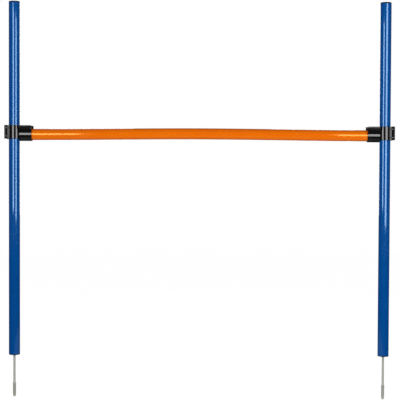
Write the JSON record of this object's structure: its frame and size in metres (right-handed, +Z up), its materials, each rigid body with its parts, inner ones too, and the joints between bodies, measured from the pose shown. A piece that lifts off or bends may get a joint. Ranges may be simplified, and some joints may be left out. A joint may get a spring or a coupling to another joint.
{
  "type": "dog agility hurdle",
  "caption": "Dog agility hurdle with staked tube posts, sliding snap clips with open cradles, and a lift-off crossbar.",
  "frame": {"origin": "on the ground line, midway between the posts, at the undersides of the post feet; the spikes reach below it", "axes": "+X from the left post to the right post, +Y the way a dog jumps, away from the viewer, +Z up"},
  "size_m": [1.1256, 0.0474, 1.1515],
  "materials": {
    "post_plastic": "glossy extruded tube, blue",
    "bar_plastic": "glossy extruded tube, orange",
    "clip_plastic": "satin moulded plastic, black",
    "cap_plastic": "satin moulded plastic, black",
    "spike_steel": "zinc-plated rod with a pressed blade"
  },
  "bodies": {
    "posts": {"left_post_tube": "post_plastic", "right_post_tube": "post_plastic", "left_top_cap": "cap_plastic", "right_top_cap": "cap_plastic", "left_spike_plug": "cap_plastic", "right_spike_plug": "cap_plastic", "left_ground_spike": "spike_steel", "right_ground_spike": "spike_steel"},
    "left_clip": {"left_clip": "clip_plastic"},
    "right_clip": {"right_clip": "clip_plastic"},
    "crossbar": {"crossbar_tube": "bar_plastic", "crossbar_left_cap": "cap_plastic", "crossbar_right_cap": "cap_plastic"}
  },
  "joints": [
    {"name": "left_clip_slide", "type": "slide", "parent": "posts", "child": "left_clip", "axis": [0, 0, 1], "range_m": [-0.61, 0.35]},
    {"name": "right_clip_slide", "type": "slide", "parent": "posts", "child": "right_clip", "axis": [0, 0, 1], "range_m": [-0.61, 0.35]},
    {"name": "crossbar_lift", "type": "slide", "parent": "left_clip", "child": "crossbar", "axis": [0, 0, 1], "range_m": [0, 0.06]}
  ],
  "couplings": [
    {"joint": "right_clip_slide", "follows": "left_clip_slide", "ratio": 1}
  ]
}
